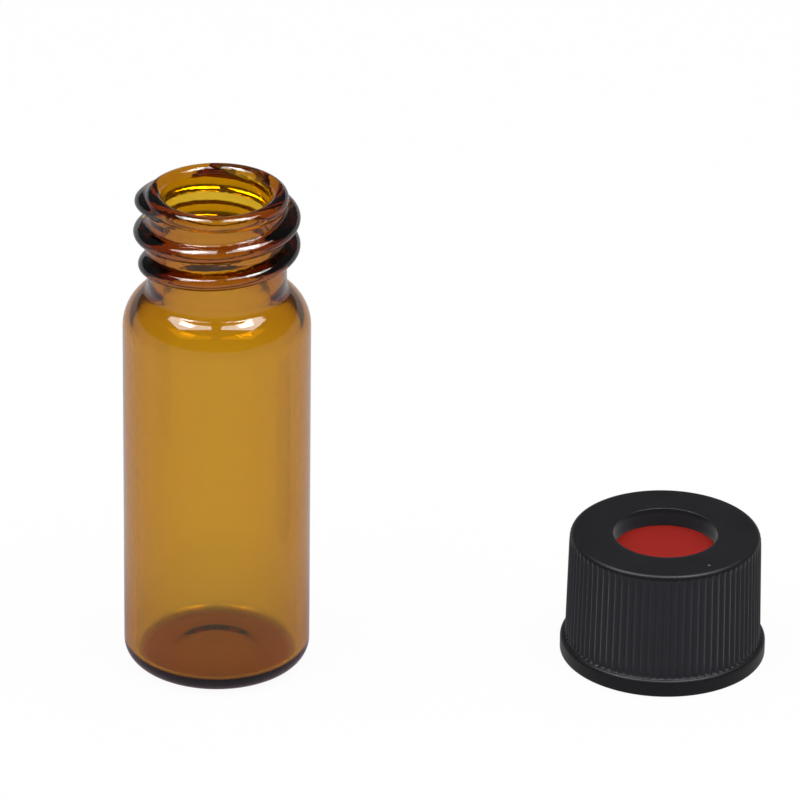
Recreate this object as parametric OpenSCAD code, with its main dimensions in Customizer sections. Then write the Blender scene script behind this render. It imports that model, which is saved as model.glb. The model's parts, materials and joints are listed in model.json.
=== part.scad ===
// Screw-neck sample vial of amber glass, open, with its septum cap standing beside it.
// Millimetres. The origin is the centre of the vial's base, +Z is up, and the cap stands towards +X.
// The cap stands on its open end, just as it would sit on the neck.

/* [Vial body] */
// Height of the vial, from what it stands on to the top of its lip
vial_h = 32; // [27:0.5:60]
// Outside diameter of the straight body
body_d = 11.6; // [11.2:0.1:16]
// Thickness of the body's wall
body_wall = 0.75; // [0.6:0.05:1.1]
// Thickness of the floor
floor_t = 0.8; // [0.7:0.05:2]
// Outside radius round the heel
heel_r = 1.2; // [0.5:0.05:1.4]
// Inside radius where the wall meets the floor
well_r = 0.45; // [0.3:0.05:1.5]
// Width of the ring that the vial stands on, inside its heel
foot_w = 0.9; // [0.4:0.1:1.6]
// Rise of the shallow hollow inside that ring
dish_h = 0.2; // [0.05:0.05:0.4]

/* [Vial shoulder and neck] */
// Outside diameter of the neck between the threads
neck_d = 8.6; // [8.3:0.05:8.8]
// Diameter of the hole through the neck
mouth_d = 6.6; // [6.2:0.1:7.2]
// Height of the neck, from its corner with the shoulder to the top of the lip
neck_h = 6.4; // [6:0.1:9]
// Outside radius of the shoulder's curve
shoulder_r = 2.7; // [1.5:0.1:3.5]
// Angle through which the shoulder turns inwards, in degrees
shoulder_turn = 55; // [40:1:70]
// Radius of the hollow corner between the shoulder and the neck
neck_corner_r = 0.5; // [0.2:0.1:0.8]
// Radius that rounds both edges of the lip, kept within half of its thickness
lip_r = 0.53; // [0.2:0.01:0.6]
// How far the lip swells out past the neck
lip_out = 0.1; // [0.05:0.01:0.1]

/* [Neck thread] */
// Diameter over the thread
thread_d = 10.3; // [9.8:0.1:10.4]
// Rise of the thread in one turn, right-handed
thread_pitch = 1.814; // [1.7:0.01:1.9]
// Turns of the thread, with both of its run-outs
thread_turns = 2.28; // [1.8:0.02:2.5]
// Width of the thread's rounded ridge at its root
thread_w = 1.2; // [1:0.05:1.65]
// Drop from the top of the lip to the middle of the ridge at its upper end
thread_drop = 0.6; // [0.4:0.05:0.9]
// Direction in which the upper end points, in degrees from +X, anticlockwise
thread_end_angle = 240; // [0:5:355]
// Angle over which each end of the ridge runs out, in degrees
thread_runout = 75; // [40:5:100]

/* [Cap] */
// Height of the cap
cap_h = 8.2; // [7.8:0.1:10]
// Thickness of the cap's wall round its bore, measured to the ribs
skirt_wall = 0.85; // [0.75:0.05:1.5]
// Amount by which the skirt narrows to its top, on the radius
skirt_draft = 0.15; // [0:0.05:0.25]
// Thickness of the plate over the septum
plate_t = 1.2; // [0.8:0.1:1.6]
// Radius that rounds the top edge
top_edge_r = 0.3; // [0.1:0.05:0.5]
// Diameter of the hole that a needle goes through
port_d = 6.5; // [5:0.1:7.2]
// Number of grip ribs
rib_count = 80; // [40:1:90]
// Depth of the grooves between the ribs
rib_depth = 0.15; // [0.05:0.01:0.25]
// How far the flange stands out past the ribs
flange_out = 0.3; // [0.1:0.05:0.8]
// Height of the flange
flange_h = 1.1; // [0.6:0.05:1.6]
// Radius where the flange turns in to the ribs
flange_r = 0.3; // [0.1:0.05:0.5]

/* [Cap inside] */
// Radial gap between the cap's bore and the neck thread
bore_gap = 0.15; // [0.1:0.01:0.3]
// Radial gap between the cap's thread and the neck
crest_gap = 0.2; // [0.1:0.01:0.3]
// Turns of the cap's thread, with both of its run-outs
cap_turns = 1.6; // [1:0.05:1.7]
// Width of the cap's ridge at its root
cap_thread_w = 1.05; // [0.8:0.05:1.2]
// Width of the cap's ridge at its crest
cap_crest_w = 0.35; // [0.2:0.05:0.5]
// Angle over which each end of the cap's ridge runs out, in degrees
cap_runout = 30; // [15:5:60]
// Width of the flat land round the cap's mouth
mouth_land = 0.25; // [0.1:0.05:0.4]
// Depth of the flared mouth that holds the ratchet teeth
flare_h = 1.2; // [0.8:0.1:1.4]
// Number of ratchet teeth
tooth_count = 24; // [12:1:36]
// Height of each tooth's step
tooth_step = 0.3; // [0.1:0.05:0.4]

/* [Septum] */
// Thickness of the red silicone disc
silicone_t = 1.3; // [0.8:0.1:1.6]
// Thickness of the white film under it
film_t = 0.2; // [0.1:0.05:0.3]
// Radial gap between the septum and the cap's bore
septum_gap = 0.15; // [0.05:0.05:0.4]
// Gap between the film and the end of the cap's thread that keeps it in
film_gap = 0.1; // [0.05:0.05:0.3]

/* [Where the cap stands] */
// Clear distance between the vial's body and the cap's flange
cap_apart = 15.75; // [2:0.05:40]
// How far the cap stands behind the vial's middle
cap_back = 1.2; // [-10:0.1:10]

/* [Hidden] */
round_fn = 96;
// Segments in a rounded corner and steps in a turn of thread
arc_steps = 8;
turn_steps = 40;
ridge_steps = 10;
// Depth to which ridges and teeth are sunk into the wall that carries them
root_sink = 0.2;
// Share of the neck ridge's width that is left at its ends
end_w_share = 0.35;
// Overhang of a cut past the face that it opens
cut_over = 1;

body_r = body_d / 2;
neck_r = neck_d / 2;
mouth_r = mouth_d / 2;
thread_r = thread_d / 2;
neck_foot_z = vial_h - neck_h;
// The lip's top keeps a flat of at least this width between its two rounded edges.
lip_top_w = 0.04;
lip_round = min(lip_r, (neck_r + lip_out - mouth_r - lip_top_w) / 2);

// The shoulder: an outward curve, a straight cone and the hollow corner of the neck.
shoulder_curve_in = shoulder_r * (1 - cos(shoulder_turn));
corner_in = neck_corner_r * (1 - cos(shoulder_turn));
cone_in = body_r - neck_r - shoulder_curve_in - corner_in;
cone_h = cone_in / tan(shoulder_turn);
shoulder_z = neck_foot_z - (neck_corner_r + shoulder_r) * sin(shoulder_turn) - cone_h;
// The inside of the shoulder is set so that its cone is as thick as the neck's wall.
shoulder_in_z = shoulder_z - (neck_r - mouth_r - body_wall) / sin(shoulder_turn);
thread_end_z = vial_h - thread_drop;

bore_r = thread_r + bore_gap;
crest_r = neck_r + crest_gap;
grip_r = bore_r + skirt_wall;
grip_top_r = grip_r - skirt_draft;
flange_out_r = grip_r + flange_out;
flare_r = flange_out_r - mouth_land;
seat_z = cap_h - plate_t;
film_z = seat_z - silicone_t - film_t;
septum_r = bore_r - septum_gap;
cap_thread_end_z = film_z - film_gap - cap_thread_w / 2;
cap_x = body_r + cap_apart + flange_out_r;
tooth_span = 360 / tooth_count;

// Points of an arc round centre c, from angle a0 to a1.
function arc(c, r, a0, a1) =
    [for (i = [0 : arc_steps]) let (a = a0 + (a1 - a0) * i / arc_steps) c + r * [cos(a), sin(a)]];

// Ease from 0 at one end to 1, over the run-out, for a ridge that sinks away at both ends.
function runout(angle, whole, fade) =
    let (near = min(angle, whole - angle) / fade, t = min(1, max(0, near))) t * t * (3 - 2 * t);

// A point at radius r and height z in the half plane at this angle.
function at(angle, r, z) = [r * cos(angle), r * sin(angle), z];

// Closed solid through a list of rings with flat ends. Each ring has the same number of points,
// anticlockwise in its half plane, and the rings follow one another anticlockwise round the axis.
module skin(rings) {
    n = len(rings[0]);
    last = len(rings) - 1;
    points = [for (ring = rings) for (p = ring) p];
    sides = [for (i = [0 : last - 1]) for (j = [0 : n - 1]) let (k = (j + 1) % n)
        each [[i * n + j, i * n + k, (i + 1) * n + j], [i * n + k, (i + 1) * n + k, (i + 1) * n + j]]];
    near_end = [[for (j = [0 : n - 1]) (n - j) % n]];
    far_end = [[for (j = [0 : n - 1]) last * n + j]];
    polyhedron(points, concat(near_end, sides, far_end));
}

// Rounded ridge wound round the outside of the neck. Its section is half an ellipse, sunk at its root, and
// it loses height and some width in the run-outs.
module neck_thread() {
    steps = ceil(thread_turns * turn_steps);
    whole = thread_turns * 360;
    root_r = neck_r - root_sink;
    skin([for (i = [0 : steps]) let (
        a = whole * i / steps,
        dir = thread_end_angle - whole + a,
        z = thread_end_z - thread_pitch * (whole - a) / 360,
        full = runout(a, whole, thread_runout),
        rise = (thread_r - root_r) * full,
        half_w = thread_w / 2 * (end_w_share + (1 - end_w_share) * full))
        concat(
            [at(dir, root_r - root_sink, z + half_w), at(dir, root_r - root_sink, z - half_w)],
            [for (j = [0 : ridge_steps]) let (u = 2 * j / ridge_steps - 1)
                at(dir, root_r + rise * cos(90 * u), z + half_w * sin(90 * u))])]);
}

// Outline of the glass in section: the outside from the dish up to the lip, then the inside back down.
function vial_section() = concat(
    [[0, dish_h], [body_r - heel_r - foot_w, 0]],
    arc([body_r - heel_r, heel_r], heel_r, -90, 0),
    arc([body_r - shoulder_r, shoulder_z], shoulder_r, 0, shoulder_turn),
    arc([neck_r + neck_corner_r, neck_foot_z], neck_corner_r, 180 + shoulder_turn, 180),
    arc([neck_r + lip_out - lip_round, vial_h - lip_round], lip_round, -acos(1 - lip_out / lip_round), 90),
    arc([mouth_r + lip_round, vial_h - lip_round], lip_round, 90, 180),
    arc([neck_r + neck_corner_r, neck_foot_z], neck_r + neck_corner_r - mouth_r, 180, 180 + shoulder_turn),
    arc([body_r - shoulder_r, shoulder_in_z], shoulder_r - body_wall, shoulder_turn, 0),
    arc([body_r - body_wall - well_r, floor_t + well_r], well_r, 0, -90),
    [[0, floor_t]]);

module vial() {
    color([0.72, 0.50, 0.14, 0.7])
    union() {
        rotate_extrude($fn = round_fn) polygon(vial_section());
        neck_thread();
    }
}

// Outside of the cap without its grooves, narrower than the ribs by inset.
function cap_section(inset) = concat(
    [[0, 0]],
    arc([flange_out_r - flange_r / 2, flange_r / 2], flange_r / 2, -90, 0),
    arc([flange_out_r - flange_r, flange_h - flange_r], flange_r, 0, 90),
    [[grip_r - inset, flange_h]],
    arc([grip_top_r - inset - top_edge_r, cap_h - top_edge_r], top_edge_r, 0, 90),
    [[0, cap_h]]);

// Outside of the ribs: the skirt's own taper, and a bevel that ends them below the top edge.
function rib_section() = [
    [0, flange_h - flange_r / 2],
    [grip_r, flange_h - flange_r / 2],
    [grip_top_r, cap_h - top_edge_r - rib_depth],
    [grip_top_r - 2 * rib_depth, cap_h - top_edge_r + rib_depth],
    [0, cap_h - top_edge_r + rib_depth]];

// Star outline of the ribs. Each rib is twice as wide at its root as at its crest.
function rib_outline() = [for (i = [0 : rib_count - 1], p = [[-1, 0], [-0.5, 1], [0.5, 1], [1, 0]])
    let (a = (i + p[0] / 3) * 360 / rib_count,
         r = p[1] == 1 ? grip_r + rib_depth : grip_top_r - 2 * rib_depth)
    r * [cos(a), sin(a)]];

module ribs() {
    intersection() {
        rotate_extrude($fn = round_fn) polygon(rib_section());
        translate([0, 0, flange_h - flange_r]) linear_extrude(cap_h) polygon(rib_outline());
    }
}

// Hollow of the cap: the flared mouth, the bore and the septum's seat under the plate.
module cap_hollow() {
    rotate_extrude($fn = round_fn) polygon([
        [0, -cut_over],
        [flare_r, -cut_over],
        [flare_r, 0],
        [bore_r, flare_h],
        [bore_r, seat_z],
        [0, seat_z]]);
}

// Ridge wound round the cap's bore, with a flat crest and straight flanks that run on into the wall.
module cap_thread() {
    steps = ceil(cap_turns * turn_steps);
    whole = cap_turns * 360;
    root_r = bore_r + root_sink;
    flank = (cap_thread_w - cap_crest_w) / 2 / (bore_r - crest_r);
    skin([for (i = [0 : steps]) let (
        a = whole * i / steps,
        z = cap_thread_end_z - thread_pitch * (whole - a) / 360,
        tip_r = root_r - root_sink / 2 - (root_r - root_sink / 2 - crest_r) * runout(a, whole, cap_runout),
        crest = cap_crest_w / 2,
        root = crest + flank * (root_r - crest_r))
        [at(a, root_r, z - root), at(a, root_r, z + root), at(a, tip_r, z + crest), at(a, tip_r, z - crest)]]);
}

// One ratchet tooth: a ramp on the flare that rises to a step.
module tooth() {
    low_z = tooth_step / 2;
    high_z = flare_h + root_sink / 2;
    skin([for (side = [0, 1]) [
        at(side * tooth_span, flare_r + root_sink / 2, low_z),
        at(side * tooth_span, bore_r + root_sink * 2, high_z),
        at(side * tooth_span, bore_r + root_sink / 2 - side * (tooth_step + root_sink / 2), high_z),
        at(side * tooth_span, flare_r - side * tooth_step, low_z)]]);
}

module cap() {
    color([0.09, 0.09, 0.10])
    translate([cap_x, cap_back, 0]) {
        difference() {
            union() {
                rotate_extrude($fn = round_fn) polygon(cap_section(rib_depth));
                ribs();
            }
            cap_hollow();
            translate([0, 0, seat_z - cut_over])
                cylinder(h = plate_t + 2 * cut_over, d = port_d, $fn = round_fn);
        }
        rotate(tooth_span / 2) {
            cap_thread();
            for (i = [0 : tooth_count - 1]) rotate(i * tooth_span) tooth();
        }
    }
}

// Disc that fills the septum's seat from height z upwards.
module septum_disc(z, t) {
    translate([cap_x, cap_back, z]) cylinder(h = t, r = septum_r, $fn = round_fn);
}

module septum_silicone() {
    color([0.61, 0.16, 0.13]) septum_disc(film_z + film_t, silicone_t);
}

module septum_ptfe() {
    color([0.94, 0.94, 0.95]) septum_disc(film_z, film_t);
}

vial();
cap();
septum_silicone();
septum_ptfe();
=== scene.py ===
"""A screw-neck sample vial in amber glass and its septum cap, dressed for a picture.

Every piece is a surface of revolution whose radius also varies round the axis: a profile of points
(radius, height) is carried round a grid of angles, and threads, ribs and teeth are added to the radius.
"""

import json
import math

import bpy
import numpy as np
from mathutils import Matrix, Vector

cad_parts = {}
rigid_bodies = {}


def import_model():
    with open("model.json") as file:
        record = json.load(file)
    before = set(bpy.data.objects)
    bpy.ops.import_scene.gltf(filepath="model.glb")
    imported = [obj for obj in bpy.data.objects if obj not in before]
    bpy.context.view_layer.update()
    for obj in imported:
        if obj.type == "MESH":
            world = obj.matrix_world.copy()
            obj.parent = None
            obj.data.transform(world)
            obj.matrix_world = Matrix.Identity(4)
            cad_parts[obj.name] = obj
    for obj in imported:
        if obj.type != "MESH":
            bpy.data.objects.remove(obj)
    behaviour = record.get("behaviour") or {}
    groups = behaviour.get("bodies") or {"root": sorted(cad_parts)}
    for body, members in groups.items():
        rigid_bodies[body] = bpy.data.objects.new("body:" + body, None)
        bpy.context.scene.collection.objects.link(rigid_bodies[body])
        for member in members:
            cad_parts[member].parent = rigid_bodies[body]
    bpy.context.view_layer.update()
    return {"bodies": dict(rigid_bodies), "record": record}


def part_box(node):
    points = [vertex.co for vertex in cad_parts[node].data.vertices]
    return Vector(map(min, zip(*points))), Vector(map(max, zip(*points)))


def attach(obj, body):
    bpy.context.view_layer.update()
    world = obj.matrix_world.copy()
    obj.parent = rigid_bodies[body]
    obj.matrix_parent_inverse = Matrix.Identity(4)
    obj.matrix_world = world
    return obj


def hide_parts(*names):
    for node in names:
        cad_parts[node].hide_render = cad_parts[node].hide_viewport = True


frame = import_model()

MM = 0.001
BODY = next(iter(frame["bodies"]))
MOUNTS = {mount["name"]: mount for mount in frame["record"]["mounts"]}

# Sizes of the vial, in metres. The first three are read from the frame.
vial_low, vial_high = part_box("vial")
BODY_R = (vial_high.x - vial_low.x) / 2
VIAL_H = vial_high.z
MOUTH_R = MOUNTS["mouth"]["dims"]["r_mm"] * MM
NECK_R = 4.3 * MM
NECK_H = 6.4 * MM
BODY_WALL = 0.75 * MM
FLOOR_T = 0.8 * MM
HEEL_R = 1.2 * MM
WELL_R = 0.45 * MM
FOOT_W = 0.9 * MM
DISH_H = 0.2 * MM
DISH_STEP_R = 1.9 * MM
DISH_STEP_W = 1.2 * MM
SHOULDER_R = 2.7 * MM
SHOULDER_TURN = 55
CORNER_R = 0.5 * MM
LIP_R = 0.53 * MM
LIP_OUT = 0.1 * MM
LIP_FADE = 0.8

# The neck's thread: a rounded ridge on a right-handed helix.
THREAD_R = 5.15 * MM
PITCH = 1.814 * MM
THREAD_TURNS = 2.28
THREAD_HALF_W = 0.6 * MM
THREAD_ROOT_R = NECK_R - 0.2 * MM
THREAD_TOP_Z = VIAL_H - 0.6 * MM
THREAD_END_ANGLE = 240
THREAD_RUNOUT = 75
THREAD_END_SHARE = 0.35
THREAD_BLEND = 0.2 * MM

# The neck's ripples fade in between these two heights, round the lower end of its thread.
RIPPLE_LOW_Z = VIAL_H - 5.6 * MM
RIPPLE_FULL_Z = VIAL_H - 4.8 * MM

# Sizes of the cap. Its place and its outside are read from the frame.
cap_low, cap_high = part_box("cap")
CAP_X = (cap_low.x + cap_high.x) / 2
CAP_Y = (cap_low.y + cap_high.y) / 2
FLANGE_R = (cap_high.x - cap_low.x) / 2
CAP_H = cap_high.z
PORT_R = MOUNTS["needle_port"]["dims"]["r_mm"] * MM
PLATE_T = MOUNTS["needle_port"]["dims"]["length_mm"] * MM
GRIP_R = FLANGE_R - 0.3 * MM
GRIP_TOP_R = GRIP_R - 0.15 * MM
BORE_R = THREAD_R + 0.15 * MM
CREST_R = NECK_R + 0.2 * MM
FLARE_R = FLANGE_R - 0.25 * MM
FLARE_H = 1.2 * MM
FLANGE_H = 1.1 * MM
FLANGE_EDGE_R = 0.28 * MM
TOP_EDGE_R = 0.3 * MM
RIBS = 80
COLUMNS_PER_RIB = 9
RIB_DEPTH = 0.15 * MM
RIB_FULLNESS = 0.8
RIB_END_DEPTH = 0.045 * MM
TEETH = 24
TOOTH_STEP = 0.3 * MM
CAP_TURNS = 1.6
CAP_RUNOUT = 30
CAP_RIDGE_W = 1.05 * MM
CAP_CREST_W = 0.35 * MM
CAP_THREAD_GAP = 0.1 * MM

# Sizes of the septum under the cap's plate: red silicone with a white film below it.
SEAT_Z = CAP_H - PLATE_T
SEPTUM_R = BORE_R - 0.15 * MM
SEPTUM_T = 1.5 * MM
FILM_T = 0.2 * MM
SEPTUM_SWELL = 0.06 * MM

# The picture's floor lies just under the glass, so that the two don't share a plane.
FLOOR_Z = -0.02 * MM


def line(start, end, count):
    """Points at even steps from start to end, without the first: start + (end - start) * t."""
    t = np.linspace(0, 1, count + 1)[1:, None]
    return np.array(start) + (np.array(end) - np.array(start)) * t


def arc(centre, radius, start, end, count):
    """Points on a circle round centre from one angle to another, in degrees, both ends included."""
    a = np.radians(np.linspace(start, end, count + 1))
    return np.array(centre) + radius * np.stack([np.cos(a), np.sin(a)], 1)


def smoothstep(t):
    """0 below 0, 1 above 1, and 3 t^2 - 2 t^3 between."""
    t = np.clip(t, 0, 1)
    return t * t * (3 - 2 * t)


def smooth_max(a, b, width):
    """The larger of a and b with its corner rounded: (a + b + sqrt((a - b)^2 + width^2)) / 2."""
    return (a + b + np.sqrt((a - b) ** 2 + width ** 2)) / 2


def turn(name, radius, height, poles):
    """Mesh of a profile carried round +Z. Point (i, j) stands at angle 2 pi i / columns, at radius[i, j]
    and height[i, j]. With poles, the profile starts and ends on the axis, and each end is one point;
    without them, its last row joins its first."""
    columns, rows = radius.shape
    a = np.arange(columns)[:, None] * 2 * math.pi / columns
    points = np.stack([radius * np.cos(a), radius * np.sin(a), height], 2)
    i = np.arange(columns)[:, None]
    after = (i + 1) % columns
    if poles:
        rows -= 2
        j = np.arange(rows - 1)[None, :]
        quads = np.stack([i * rows + j, after * rows + j, after * rows + j + 1, i * rows + j + 1], 2)
        first = np.full((columns, 1), columns * rows)
        fans = [np.hstack([first, after * rows, i * rows]),
                np.hstack([first + 1, (i + 1) * rows - 1, (after + 1) * rows - 1])]
        ends = [(0, 0, height[0, 0]), (0, 0, height[0, -1])]
        points = np.concatenate([points[:, 1:-1].reshape(-1, 3), ends])
        faces = quads.reshape(-1, 4).tolist() + fans[0].tolist() + fans[1].tolist()
    else:
        j = np.arange(rows)[None, :]
        up = (j + 1) % rows
        quads = np.stack([i * rows + j, after * rows + j, after * rows + up, i * rows + up], 2)
        points = points.reshape(-1, 3)
        faces = quads.reshape(-1, 4).tolist()
    mesh = bpy.data.meshes.new(name)
    mesh.from_pydata(points.tolist(), [], faces)
    mesh.polygons.foreach_set("use_smooth", np.ones(len(mesh.polygons), bool))
    mesh.update()
    piece = bpy.data.objects.new(name, mesh)
    bpy.context.scene.collection.objects.link(piece)
    return piece


def shift(piece, x, y):
    """Moves the mesh itself, so that the object stays at the origin."""
    piece.data.transform(Matrix.Translation((x, y, 0)))
    return piece


def stand_for(piece, node, finish):
    """The piece replaces a solid, rides where it rode and takes its finish."""
    piece.data.materials.append(finish)
    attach(piece, BODY)
    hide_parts(node)
    return piece


def helix_ridge(angle, z, top_z, turns, end_angle, half_width, runout, end_share):
    """How far each point lies from the middle of a helical ridge, as a share of its half width, with the
    ridge's growth there. The middle line rises by PITCH in a turn and ends at top_z in direction
    end_angle. The growth is a smooth step from 0 at both ends to 1, over the run-out."""
    whole = turns * 360
    start = end_angle - whole
    along = (np.degrees(angle) - start) % 360
    best_share = np.full(np.broadcast(angle, z).shape, np.inf)
    best_growth = np.zeros_like(best_share)
    for lap in range(math.ceil(turns)):
        a = along + 360 * lap
        growth = smoothstep(np.minimum(a, whole - a) / runout)
        middle = top_z - PITCH * (whole - a) / 360
        width = half_width * (end_share + (1 - end_share) * growth)
        share = np.where((a <= whole) & (growth > 0), np.abs(z - middle) / width, np.inf)
        nearer = share < best_share
        best_share = np.where(nearer, share, best_share)
        best_growth = np.where(nearer, growth, best_growth)
    return best_share, best_growth


def vial_profile():
    """The glass in section: from the middle of the dish outwards and up the outside to the lip, then
    down the inside to the middle of the floor. Also gives the count of points up to the lip's top. The
    dish falls from DISH_H to 0, half of it as a cone and half as a smooth step at DISH_STEP_R."""
    foot_z = VIAL_H - NECK_H
    turn_cos = math.cos(math.radians(SHOULDER_TURN))
    turn_sin = math.sin(math.radians(SHOULDER_TURN))
    cone_in = BODY_R - NECK_R - (SHOULDER_R + CORNER_R) * (1 - turn_cos)
    shoulder_z = foot_z - (CORNER_R + SHOULDER_R) * turn_sin - cone_in * turn_cos / turn_sin
    foot_r = BODY_R - HEEL_R - FOOT_W
    dish_r = np.linspace(0, foot_r, 25)
    dish_fall = (dish_r / foot_r + smoothstep((dish_r - DISH_STEP_R) / DISH_STEP_W)) / 2
    dish = np.stack([dish_r, DISH_H * (1 - dish_fall)], 1)
    shoulder = (BODY_R - SHOULDER_R, shoulder_z)
    corner = (NECK_R + CORNER_R, foot_z)
    heel = arc((BODY_R - HEEL_R, HEEL_R), HEEL_R, -90, 0, 12)
    neck_out = arc(corner, CORNER_R, 180 + SHOULDER_TURN, 180, 8)
    under_lip = -math.degrees(math.acos(1 - LIP_OUT / LIP_R))
    lip_out = arc((NECK_R + LIP_OUT - LIP_R, VIAL_H - LIP_R), LIP_R, under_lip, 90, 18)
    lip_in = arc((MOUTH_R + LIP_R, VIAL_H - LIP_R), LIP_R, 90, 180, 14)
    neck_in = arc(corner, NECK_R + CORNER_R - MOUTH_R, 180, 180 + SHOULDER_TURN, 12)
    shoulder_out = arc(shoulder, SHOULDER_R, 0, SHOULDER_TURN, 20)
    hollow_z = shoulder_z - (NECK_R - MOUTH_R - BODY_WALL) / turn_sin
    shoulder_in = arc((shoulder[0], hollow_z), SHOULDER_R - BODY_WALL, SHOULDER_TURN, 0, 16)
    well = arc((BODY_R - BODY_WALL - WELL_R, FLOOR_T + WELL_R), WELL_R, 0, -90, 14)
    outside = [dish, line(dish[-1], heel[0], 5)[:-1], heel, line(heel[-1], shoulder_out[0], 40)[:-1],
               shoulder_out, line(shoulder_out[-1], neck_out[0], 5)[:-1], neck_out,
               line(neck_out[-1], lip_out[0], 96)[:-1], lip_out]
    inside = [lip_in, line(lip_in[-1], neck_in[0], 16)[:-1], neck_in,
              line(neck_in[-1], shoulder_in[0], 5)[:-1], shoulder_in,
              line(shoulder_in[-1], well[0], 40)[:-1], well, line(well[-1], (0, FLOOR_T), 10)]
    outside = np.concatenate(outside)
    return np.concatenate([outside, np.concatenate(inside)]), len(outside)


def amber_vial():
    """The glass. On the outside of the neck the radius is the larger, with a rounded corner, of the
    profile's and of the ridge's half ellipse: root + rise * sqrt(1 - share of its half width ^ 2). What
    the ridge adds fades out over the top of the lip, from 1 + LIP_FADE to 1 times LIP_R outside the
    mouth."""
    profile, outside = vial_profile()
    columns = 264
    angle = np.arange(columns)[:, None] * 2 * math.pi / columns
    radius = np.repeat(profile[None, :, 0], columns, 0)
    height = np.repeat(profile[None, :, 1], columns, 0)
    neck = np.arange(len(profile)) < outside
    neck &= profile[:, 1] > VIAL_H - NECK_H
    share, growth = helix_ridge(angle, profile[None, neck, 1], THREAD_TOP_Z, THREAD_TURNS,
                                THREAD_END_ANGLE, THREAD_HALF_W, THREAD_RUNOUT, THREAD_END_SHARE)
    hump = np.sqrt(1 - np.minimum(share, 1) ** 2)
    ridge = THREAD_ROOT_R + (THREAD_R - THREAD_ROOT_R) * growth * hump
    bare = radius[:, neck]
    grown = smooth_max(bare, ridge, THREAD_BLEND)
    rest = smooth_max(bare, THREAD_ROOT_R, THREAD_BLEND)
    fade = np.clip(((bare - MOUTH_R) / LIP_R - 1) / LIP_FADE, 0, 1)
    radius[:, neck] = bare + (grown - rest) * fade
    return turn("amber_vial", radius, height, poles=True)


def cap_profile():
    """The cap in section: over the plate from its hole, down the grip to the flange, under the mouth,
    up the bore to the septum's seat and back along the plate to the hole. Also gives the first and last
    rows of the grip, and the first row of the bore."""
    hole_edge = 0.08 * MM
    land_edge = 0.1 * MM
    top = arc((PORT_R + hole_edge, CAP_H - hole_edge), hole_edge, 180, 90, 4)
    edge = arc((GRIP_TOP_R - TOP_EDGE_R, CAP_H - TOP_EDGE_R), TOP_EDGE_R, 90, 0, 8)
    flange_top = arc((FLANGE_R - FLANGE_EDGE_R, FLANGE_H - FLANGE_EDGE_R), FLANGE_EDGE_R, 75, 0, 6)
    flange_low = arc((FLANGE_R - land_edge, land_edge), land_edge, 0, -90, 4)
    land_in = arc((FLARE_R + land_edge / 2, land_edge / 2), land_edge / 2, -90, -150, 3)
    parts = [top, line(top[-1], edge[0], 8)[:-1]]
    grip_first = sum(len(p) for p in parts)
    parts += [edge, line(edge[-1], (GRIP_R, FLANGE_H), 16)]
    grip_last = sum(len(p) for p in parts)
    parts += [flange_top, line(flange_top[-1], flange_low[0], 3)[:-1], flange_low,
              line(flange_low[-1], land_in[0], 2)[:-1], land_in]
    bore_first = sum(len(p) for p in parts)
    parts += [line(land_in[-1], (BORE_R, FLARE_H), 8), line((BORE_R, FLARE_H), (BORE_R, SEAT_Z), 52),
              line((BORE_R, SEAT_Z), (PORT_R, SEAT_Z), 6), line((PORT_R, SEAT_Z), top[0], 4)[:-1]]
    return np.concatenate(parts), grip_first, grip_last, bore_first


def septum_cap():
    """The cap. Round the grip the radius falls by RIB_DEPTH * (1 - crest), where the crest is a rounded
    rib, (0.5 + 0.5 cos(RIBS * angle)) ^ RIB_FULLNESS, and by the even RIB_END_DEPTH where the ribs have
    ended. In the flare it falls by a sawtooth repeated TEETH times, which starts and ends at a smooth
    step, and in the bore by the ridge of the thread, a flat crest with straight flanks."""
    profile, grip_first, grip_last, bore_first = cap_profile()
    columns = RIBS * COLUMNS_PER_RIB
    angle = np.arange(columns)[:, None] * 2 * math.pi / columns
    radius = np.repeat(profile[None, :, 0], columns, 0)
    height = np.repeat(profile[None, :, 1], columns, 0)
    grip = slice(grip_first, grip_last)
    z = profile[None, grip, 1]
    ribbed = smoothstep((z - FLANGE_H) / RIB_DEPTH) * smoothstep((CAP_H - TOP_EDGE_R / 2 - z) / TOP_EDGE_R)
    crest = (0.5 + 0.5 * np.cos(RIBS * angle)) ** RIB_FULLNESS
    radius[:, grip] -= RIB_DEPTH * (1 - crest) * ribbed + RIB_END_DEPTH * (1 - ribbed)
    bore = slice(bore_first, len(profile))
    z = profile[None, bore, 1]
    saw = (angle * TEETH / (2 * math.pi) + 0.5) % 1
    low = smoothstep((z - TOOTH_STEP / 3) / (TOOTH_STEP / 3))
    high = smoothstep((FLARE_H + TOOTH_STEP / 2 - z) / (TOOTH_STEP / 4))
    radius[:, bore] -= TOOTH_STEP * saw * low * high
    top_z = SEAT_Z - SEPTUM_T - CAP_THREAD_GAP - CAP_RIDGE_W / 2
    start = 180 / TEETH
    share, growth = helix_ridge(angle, z, top_z, CAP_TURNS, start + CAP_TURNS * 360, CAP_RIDGE_W / 2,
                                CAP_RUNOUT, 1)
    flank = np.clip((1 - share) / (1 - CAP_CREST_W / CAP_RIDGE_W), 0, 1)
    radius[:, bore] -= (BORE_R - CREST_R) * growth * flank
    return shift(turn("septum_cap", radius, height, poles=False), CAP_X, CAP_Y)


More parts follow.
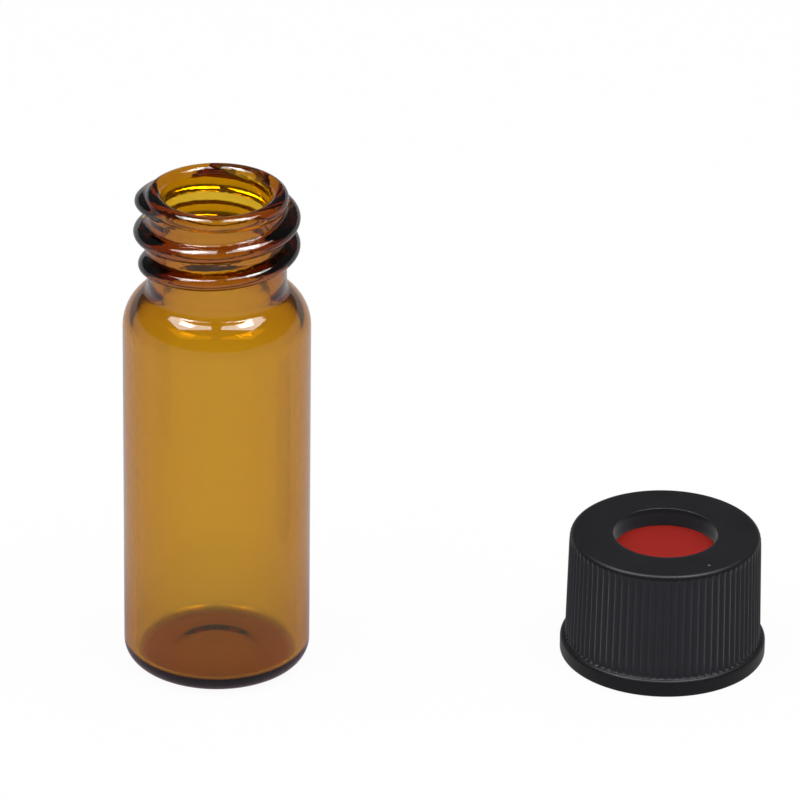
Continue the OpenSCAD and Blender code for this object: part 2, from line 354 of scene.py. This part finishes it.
def disc(name, radius, low, high, dome):
    """A disc with rounded edges whose top swells by dome * (1 - (r / PORT_R)^2)^2 inside the hole."""
    edge = min(0.1 * MM, (high - low) / 3)
    across = np.linspace(0, radius - edge, 30)
    swell = dome * np.clip(1 - (across / PORT_R) ** 2, 0, 1) ** 2
    top = np.stack([across, high + swell], 1)
    rim = arc((radius - edge, high - edge), edge, 90, 0, 4)[1:]
    low_rim = arc((radius - edge, low + edge), edge, 0, -90, 4)
    under = line(low_rim[-1], (0, low), 8)
    profile = np.concatenate([top, rim, low_rim, under])[::-1]
    columns = 144
    radii = np.repeat(profile[None, :, 0], columns, 0)
    heights = np.repeat(profile[None, :, 1], columns, 0)
    return shift(turn(name, radii, heights, poles=True), CAP_X, CAP_Y)


class Shade:
    """One output of a node. Python's operators on it add nodes: Math for numbers, and Vector Math, part
    by part, where a colour or a vector takes part."""

    def __init__(self, nodes, socket):
        self.nodes = nodes
        self.socket = socket

    def wide(self):
        return self.socket.type in ("VECTOR", "RGBA")

    def maths(self, operation, *values):
        if any(isinstance(value, Shade) and value.wide() for value in values):
            values = [value if isinstance(value, (Shade, tuple)) else (value,) * 3 for value in values]
            return self.nodes.add("ShaderNodeVectorMath", {"operation": operation}, dict(enumerate(values)))
        return self.nodes.add("ShaderNodeMath", {"operation": operation}, dict(enumerate(values)))

    def __add__(self, other):
        return self.maths("ADD", self, other)

    def __radd__(self, other):
        return self.maths("ADD", other, self)

    def __sub__(self, other):
        return self.maths("SUBTRACT", self, other)

    def __rsub__(self, other):
        return self.maths("SUBTRACT", other, self)

    def __mul__(self, other):
        return self.maths("MULTIPLY", self, other)

    def __rmul__(self, other):
        return self.maths("MULTIPLY", other, self)

    def __gt__(self, other):
        return self.maths("GREATER_THAN", self, other)


class Nodes:
    """A node tree. add() makes any node in it."""

    def __init__(self, tree):
        self.tree = tree

    def add(self, kind, settings=None, sockets=None, output=0):
        """A node of this kind, with its settings made first, then the values or links of its sockets."""
        node = self.tree.nodes.new(kind)
        for key, value in (settings or {}).items():
            setattr(node, key, value)
        for key, value in (sockets or {}).items():
            self.fill(node.inputs[key], value)
        return Shade(self, node.outputs[output])

    def fill(self, socket, value):
        if isinstance(value, Shade):
            self.tree.links.new(value.socket, socket)
        else:
            socket.default_value = value

    def mix(self, share, first, second):
        """Colour between first and second, by share."""
        return self.add("ShaderNodeMix", {"data_type": "RGBA"}, {0: share, 6: first, 7: second}, 2)

    def ramp(self, value, start, end):
        """A smooth step in value, from 0 at start to 1 at end."""
        return self.add("ShaderNodeMapRange", {"interpolation_type": "SMOOTHSTEP"}, {
            "Value": value, "From Min": start, "From Max": end})

    def by_ray(self, other, camera, glossy, transmission):
        """A number that depends on the kind of ray that asks for it. Each Mix node puts one kind's value
        in place of what came before it, so the last one wins."""
        level = other
        for kind, value in (("Camera", camera), ("Glossy", glossy), ("Transmission", transmission)):
            ray = self.add("ShaderNodeLightPath", output="Is " + kind + " Ray")
            level = self.add("ShaderNodeMix", None, {0: ray, 2: level, 3: value})
        return level


class Finish(Nodes):
    """A material with one Principled shader. set() fills the shader's own sockets."""

    def __init__(self, name):
        self.material = bpy.data.materials.new(name)
        self.material.use_nodes = True
        super().__init__(self.material.node_tree)
        self.shader = self.tree.nodes["Principled BSDF"]
        self.output = self.tree.nodes["Material Output"]
        self.place = self.add("ShaderNodeTexCoord", output="Object")

    def set(self, **values):
        for key, value in values.items():
            self.fill(self.shader.inputs[key.replace("_", " ").title().replace("Ior", "IOR")], value)

    def part(self, axis):
        """One part of the place: X, Y or Z."""
        return self.add("ShaderNodeSeparateXYZ", None, {"Vector": self.place}, axis)

    def noise(self, scale, detail=2.0, roughness=0.5, place=None):
        return self.add("ShaderNodeTexNoise", None, {
            "Vector": place or self.place, "Scale": scale, "Detail": detail, "Roughness": roughness}, "Fac")

    def bump(self, height, distance, strength=1.0):
        return self.add("ShaderNodeBump", None, {
            "Height": height, "Distance": distance, "Strength": strength}, "Normal")


def amber_glass():
    """Clear glass whose body colour comes from absorption along each ray. Its surface has the faint
    waviness of drawn tubing, and flat ripples on the moulded neck."""
    glass = Finish("amber_glass")
    glass.set(base_color=(1, 1, 1, 1), roughness=0.0, transmission_weight=1.0, ior=1.5)
    waves = glass.noise(220, 1.0)
    ripples = glass.noise(900, 2.0, 0.6, glass.place * (1, 1, 2.5))
    ripples = ripples * glass.ramp(glass.part("Z"), RIPPLE_LOW_Z, RIPPLE_FULL_Z)
    glass.set(normal=glass.bump(0.5 * waves + 2.2 * ripples, 0.00001))
    glass.fill(glass.output.inputs["Volume"], glass.add("ShaderNodeVolumeAbsorption", None, {
        "Color": (0.885, 0.755, 0.004, 1), "Density": 3480}))
    return glass.material


def black_plastic():
    """Moulded black plastic: satin, fine grain, slightly uneven gloss, a few pale specks, painted sheen on
    the grip.
    """
    plastic = Finish("black_plastic")
    patches = plastic.noise(450, 3.0)
    grain = plastic.noise(9000, 4.0, 0.6)
    specks = plastic.add("ShaderNodeTexVoronoi", {"feature": "F1"}, {
        "Vector": plastic.place, "Scale": 520.0, "Randomness": 1.0}, "Distance")
    speck = (0.05 - specks) * 40 * (plastic.noise(260, 0.0) > 0.54)
    speck = speck.maths("MAXIMUM", speck, 0.0)
    speck = speck.maths("MINIMUM", speck, 0.5)
    height = plastic.part("Z")
    # Painted sheen: the grip between the flange and the top edge gets a paler, bluer tone than the rest.
    grip = (height > FLANGE_H) * (1 - (height > (CAP_H - TOP_EDGE_R)))
    smooth = plastic.mix(patches, (0.005, 0.005, 0.007, 1), (0.009, 0.009, 0.012, 1))
    painted_sheen = plastic.mix(patches, (0.015, 0.015, 0.020, 1), (0.021, 0.021, 0.028, 1))
    tone = plastic.mix(grip, smooth, painted_sheen)
    plastic.set(base_color=plastic.mix(speck, tone, (0.35, 0.33, 0.3, 1)),
                roughness=0.36 + 0.12 * patches, ior=1.49, specular_ior_level=0.2)
    plastic.set(normal=plastic.bump(grain, 0.00001, 0.35))
    return plastic.material


def red_silicone():
    """Smooth brick-red rubber with a soft bloom."""
    rubber = Finish("red_silicone")
    cloud = rubber.noise(380, 3.0)
    grain = rubber.noise(6000, 2.0)
    rubber.set(base_color=rubber.mix(cloud, (0.36, 0.010, 0.004, 1), (0.31, 0.008, 0.003, 1)),
               roughness=0.55 + 0.1 * grain, ior=1.43, specular_ior_level=0.12)
    rubber.set(normal=rubber.bump(grain, 0.00001, 0.2))
    return rubber.material


def white_film():
    """Smooth white film, faintly cool, with a waxy gloss."""
    film = Finish("white_film")
    cloud = film.noise(300, 2.0)
    film.set(base_color=film.mix(cloud, (0.83, 0.84, 0.87, 1), (0.78, 0.79, 0.83, 1)),
             roughness=0.38 + 0.1 * cloud, ior=1.38)
    return film.material


def stage_piece(name, points, faces):
    """A piece that dresses the picture and is no part of the object."""
    mesh = bpy.data.meshes.new(name)
    mesh.from_pydata(points, [], faces)
    piece = bpy.data.objects.new(name, mesh)
    bpy.context.scene.collection.objects.link(piece)
    return piece


def white_floor():
    """A floor that is white to the camera and through the glass, and keeps a faint shadow. Under the
    vial it is painted amber, a painted pool of the light that has come down through the glass: the share
    of amber is a smooth step on the distance from the vial's axis, sqrt(x^2 + y^2). In gloss the floor is
    also mixed with a dark tone, a painted shade by the vial, half and half at the vial's side and then
    less, again by a smooth step."""
    half = 2.0
    amber_r = BODY_R - 1.5 * MM
    clear_r = BODY_R - 0.8 * MM
    bright_r = BODY_R + 15 * MM
    floor = stage_piece("floor", [(-half, -half, FLOOR_Z), (half, -half, FLOOR_Z),
                                  (half, half, FLOOR_Z), (-half, half, FLOOR_Z)], [(0, 1, 2, 3)])
    white = Finish("white_floor")
    x = white.part("X")
    y = white.part("Y")
    away = white.add("ShaderNodeMath", {"operation": "SQRT"}, {0: x * x + y * y})
    # Painted light: amber under the vial, standing in for light that has come through the glass.
    painted_amber_share = 1 - white.ramp(away, amber_r, clear_r)
    # Painted shade: in gloss, a dark purplish tone by the vial's side, fading with distance.
    shade = white.by_ray(0, 0, 0.5 - 0.5 * white.ramp(away, BODY_R, bright_r), 0)
    # Painted light: the floor's glow and its colour turn amber under the vial.
    painted_amber_glow = white.mix(painted_amber_share, (1, 1, 1, 1), (1, 0.62, 0.16, 1))
    white.set(base_color=white.mix(painted_amber_share, (0.95, 0.95, 0.95, 1), (1.0, 0.60, 0.16, 1)), roughness=0.9)
    glow = white.add("ShaderNodeEmission", None, {
        "Color": white.mix(shade, painted_amber_glow, (0.4, 0.12, 0.3, 1)), "Strength": white.by_ray(1, 1, 0.6, 1)})
    white.fill(white.output.inputs["Surface"], white.add("ShaderNodeMixShader", None, {
        0: white.by_ray(0, 0.95, 0.9, 0.2), 1: Shade(white, white.shader.outputs[0]), 2: glow}))
    floor.data.materials.append(white.material)


def white_wall():
    """A low round wall far behind everything, seen only in gloss, so that the glass stays pale at its
    edges."""
    columns = 64
    radius = 1.5
    top = (0, 0, 0.33)
    i = np.arange(columns)
    after = (i + 1) % columns
    a = i * 2 * math.pi / columns
    low = np.stack([radius * np.cos(a), radius * np.sin(a), np.zeros(columns)], 1)
    wall = stage_piece("wall", np.concatenate([low, low + top]).tolist(),
                       np.stack([after, i, i + columns, after + columns], 1).tolist())
    pale = Finish("white_wall")
    pale.fill(pale.output.inputs["Surface"], pale.add("ShaderNodeEmission", None, {"Strength": 0.6}))
    wall.data.materials.append(pale.material)
    wall.visible_camera = False
    wall.visible_diffuse = False
    wall.visible_transmission = False
    wall.visible_shadow = False


def white_world():
    """Even light from all round, with plain white behind everything that the camera sees directly."""
    world = bpy.data.worlds.new("studio")
    bpy.context.scene.world = world
    world.use_nodes = True
    nodes = Nodes(world.node_tree)
    light = nodes.tree.nodes["Background"]
    nodes.fill(light.inputs["Color"], (1, 1, 1, 1))
    nodes.fill(light.inputs["Strength"], nodes.by_ray(0.55, 1, 0.1, 0.16))


def softbox(name, centre, aim, width, depth, radiance, seen):
    """A rectangular lamp at centre that faces aim. It lights the rough surfaces, or it is seen, which is
    only in gloss and through glass. Its power is pi * area * radiance."""
    lamp = bpy.data.lights.new(name, "AREA")
    lamp.shape = "RECTANGLE"
    lamp.size = width
    lamp.size_y = depth
    lamp.energy = math.pi * width * depth * radiance
    box = bpy.data.objects.new(name, lamp)
    box.location = centre
    box.rotation_euler = (Vector(aim) - Vector(centre)).to_track_quat("-Z", "X").to_euler()
    box.visible_diffuse = not seen
    box.visible_glossy = seen
    box.visible_transmission = seen
    bpy.context.scene.collection.objects.link(box)


def camera():
    """A long lens that looks down on the vial, with the vial on the left of the picture and the cap on
    the right. The roll keeps the vial upright though it stands left of the middle."""
    elevation = math.radians(26.8)
    roll = math.radians(0.7)
    distance = 0.468
    aim = Vector((11.31 * MM, 0, 17.85 * MM))
    back = Vector((0, -math.cos(elevation), math.sin(elevation)))
    eye = aim + back * distance
    data = bpy.data.cameras.new("camera")
    data.lens = 341
    data.sensor_width = 36
    data.clip_start = 0.01
    seat = bpy.data.objects.new("camera", data)
    turned = (-back).to_track_quat("-Z", "Y").to_matrix() @ Matrix.Rotation(roll, 3, "Z")
    seat.matrix_world = Matrix.Translation(eye) @ turned.to_4x4()
    bpy.context.scene.collection.objects.link(seat)
    bpy.context.scene.camera = seat


def studio():
    """Floor, surroundings, lamps and the camera. Overhead, on each side, hang a softbox for the rough
    surfaces and two lamps that the glass mirrors, a wide one and a small bright one."""
    white_floor()
    white_wall()
    white_world()
    middle = (0.01, 0, 0.015)
    for side, x in (("left", -0.145), ("right", 0.145)):
        below = (x * 1.08, -0.02, 0)
        softbox(side + "_softbox", (x, -0.08, 0.42), middle, 0.26, 0.3, radiance=2.24, seen=False)
        softbox(side + "_shine", (x * 1.08, -0.02, 0.4), below, 0.255, 0.22, radiance=8.5, seen=True)
        softbox(side + "_core", (x * 0.95, 0, 0.39), below, 0.16, 0.1, radiance=18.0, seen=True)
    camera()
    bpy.context.scene.view_settings.view_transform = "Standard"


def build():
    """All the pieces, each standing for the solid of its name. Those that stand apart from the vial
    aren't mirrored in its side."""
    film_z = SEAT_Z - SEPTUM_T
    silicone_z = film_z + FILM_T
    stand_for(amber_vial(), "vial", amber_glass())
    cap = septum_cap()
    silicone = disc("silicone_disc", SEPTUM_R, silicone_z, SEAT_Z, SEPTUM_SWELL)
    film = disc("film_disc", SEPTUM_R, film_z, silicone_z, 0)
    for piece in (stand_for(cap, "cap", black_plastic()),
                  stand_for(silicone, "septum_silicone", red_silicone()),
                  stand_for(film, "septum_ptfe", white_film())):
        piece.visible_glossy = False


build()
studio()
